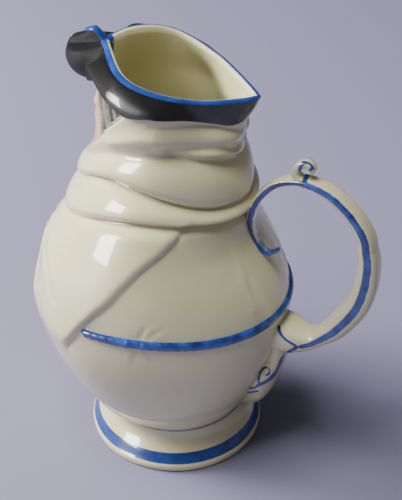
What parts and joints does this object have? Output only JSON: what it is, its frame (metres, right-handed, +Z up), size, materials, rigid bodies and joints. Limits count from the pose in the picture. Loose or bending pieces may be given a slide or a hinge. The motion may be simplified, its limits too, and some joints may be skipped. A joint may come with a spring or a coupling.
{
  "type": "toby jug",
  "caption": "Hollow glazed jug cast as a cloaked figure in a cocked hat whose brim is the mouth and spout, with a C-scroll handle and a moulded foot.",
  "frame": {"origin": "on the standing surface, under the middle of the jug's bounding box", "axes": "+Z up, -Y the way the figure faces and the spout points, +Y to the handle, +X to the figure's left"},
  "size_m": [0.1034, 0.1474, 0.1889],
  "materials": {
    "white_glaze": "glossy cream-white glaze, with cobalt blue lines, black hat, flesh and grey hair painted under it"
  },
  "bodies": {
    "root": {"toby_jug": "white_glaze"}
  },
  "joints": []
}
